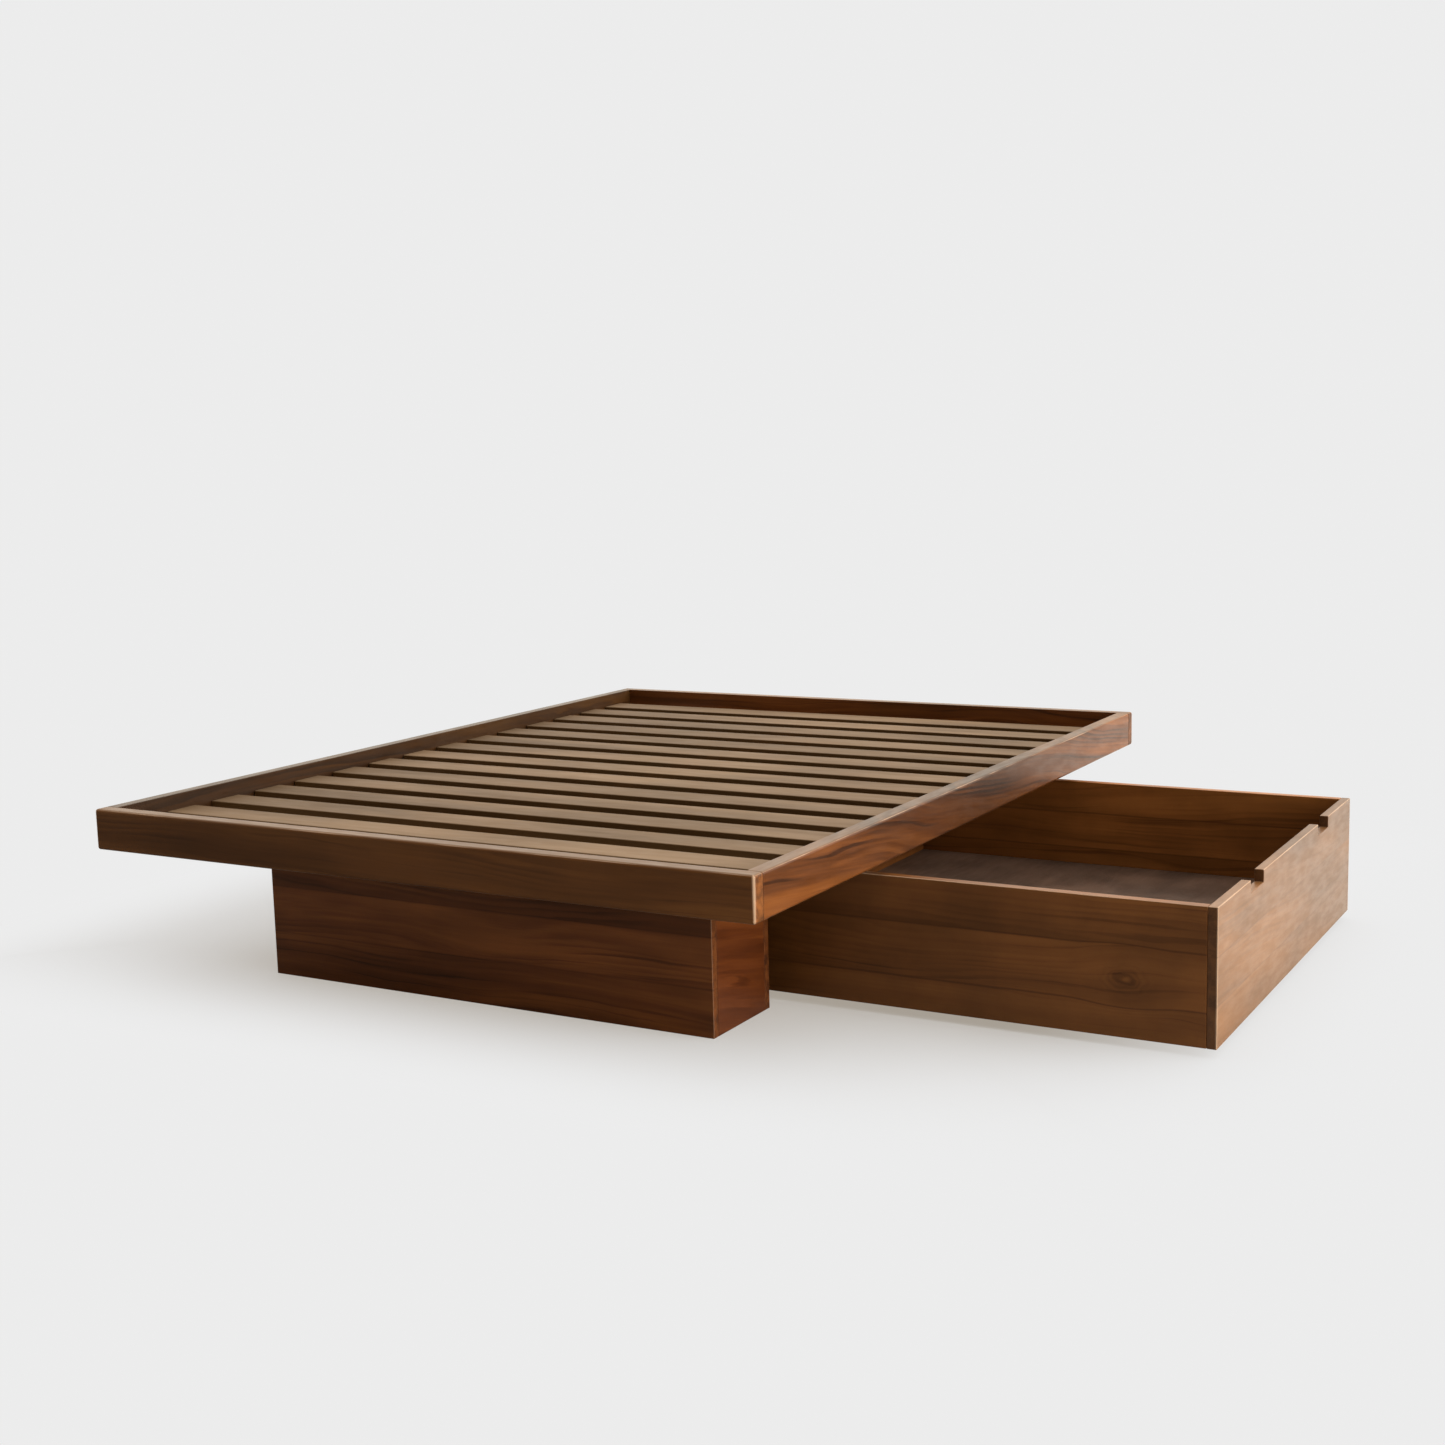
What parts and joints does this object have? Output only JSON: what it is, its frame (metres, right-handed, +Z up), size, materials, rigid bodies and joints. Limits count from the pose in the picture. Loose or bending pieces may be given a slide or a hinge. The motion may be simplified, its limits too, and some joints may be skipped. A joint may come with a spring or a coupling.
{
  "type": "platform bed frame with drawer",
  "caption": "Low wooden platform bed frame: a slatted tray that overhangs two plinth boxes, with a wide rolling storage drawer pulled out on one side between them.",
  "frame": {"origin": "on the floor, on the bed's centre line, at the middle of the underside of the foot plinth's front board", "axes": "+X across the bed to the side where the drawer pulls out, +Y along the bed to the head end, +Z up"},
  "size_m": [2.25, 2.108, 0.4],
  "materials": {
    "rail_wood": "satin lacquer over dark red-brown stained hardwood",
    "slat_wood": "satin lacquer over dark brown stained hardwood",
    "plinth_wood": "satin lacquer over dark red-brown stained hardwood",
    "support_wood": "sanded, unstained",
    "drawer_wood": "satin lacquer over golden-brown stained hardwood",
    "drawer_floor_wood": "thin satin lacquer on a veneered panel",
    "caster_steel": "zinc plated",
    "wheel_plastic": "moulded, matte"
  },
  "bodies": {
    "bed": {"foot_rail": "rail_wood", "head_rail": "rail_wood", "left_side_rail": "rail_wood", "right_side_rail": "rail_wood", "left_ledger": "support_wood", "right_ledger": "support_wood", "foot_ledger": "support_wood", "head_ledger": "support_wood", "slat_01": "slat_wood", "slat_02": "slat_wood", "slat_03": "slat_wood", "slat_04": "slat_wood", "slat_05": "slat_wood", "slat_06": "slat_wood", "slat_07": "slat_wood", "slat_08": "slat_wood", "slat_09": "slat_wood", "slat_10": "slat_wood", "slat_11": "slat_wood", "slat_12": "slat_wood", "slat_13": "slat_wood", "slat_14": "slat_wood", "slat_15": "slat_wood", "centre_beam": "support_wood", "bearer_1": "support_wood", "bearer_2": "support_wood", "bearer_3": "support_wood", "bearer_4": "support_wood", "foot_plinth_front": "plinth_wood", "foot_plinth_back": "plinth_wood", "foot_plinth_left_end": "plinth_wood", "foot_plinth_right_end": "plinth_wood", "foot_plinth_rib": "support_wood", "head_plinth_front": "plinth_wood", "head_plinth_back": "plinth_wood", "head_plinth_left_end": "plinth_wood", "head_plinth_right_end": "plinth_wood", "head_plinth_rib": "support_wood", "plinth_side_panel": "plinth_wood", "foot_drawer_guide": "support_wood", "head_drawer_guide": "support_wood"},
    "drawer": {"drawer_front": "drawer_wood", "drawer_back": "drawer_wood", "drawer_foot_side": "drawer_wood", "drawer_head_side": "drawer_wood", "drawer_bottom": "drawer_floor_wood", "drawer_centre_batten": "support_wood", "caster_1_bracket": "caster_steel", "caster_1_axle": "caster_steel", "caster_2_bracket": "caster_steel", "caster_2_axle": "caster_steel", "caster_3_bracket": "caster_steel", "caster_3_axle": "caster_steel", "caster_4_bracket": "caster_steel", "caster_4_axle": "caster_steel"},
    "wheel_1": {"caster_1_wheel": "wheel_plastic"},
    "wheel_2": {"caster_2_wheel": "wheel_plastic"},
    "wheel_3": {"caster_3_wheel": "wheel_plastic"},
    "wheel_4": {"caster_4_wheel": "wheel_plastic"}
  },
  "joints": [
    {"name": "drawer_slide", "type": "slide", "parent": "bed", "child": "drawer", "axis": [1, 0, 0], "range_m": [-0.892, 0.15]},
    {"name": "wheel_1_spin", "type": "hinge", "parent": "drawer", "child": "wheel_1", "pos_m": [1.32, 0.383, 0.025], "axis": [0, 1, 0], "continuous": true},
    {"name": "wheel_2_spin", "type": "hinge", "parent": "drawer", "child": "wheel_2", "pos_m": [1.32, 1.304, 0.025], "axis": [0, 1, 0], "continuous": true},
    {"name": "wheel_3_spin", "type": "hinge", "parent": "drawer", "child": "wheel_3", "pos_m": [0.495, 0.383, 0.025], "axis": [0, 1, 0], "continuous": true},
    {"name": "wheel_4_spin", "type": "hinge", "parent": "drawer", "child": "wheel_4", "pos_m": [0.495, 1.304, 0.025], "axis": [0, 1, 0], "continuous": true}
  ],
  "couplings": [
    {"joint": "wheel_1_spin", "follows": "drawer_slide", "rad_per_m": 40},
    {"joint": "wheel_2_spin", "follows": "drawer_slide", "rad_per_m": 40},
    {"joint": "wheel_3_spin", "follows": "drawer_slide", "rad_per_m": 40},
    {"joint": "wheel_4_spin", "follows": "drawer_slide", "rad_per_m": 40}
  ]
}
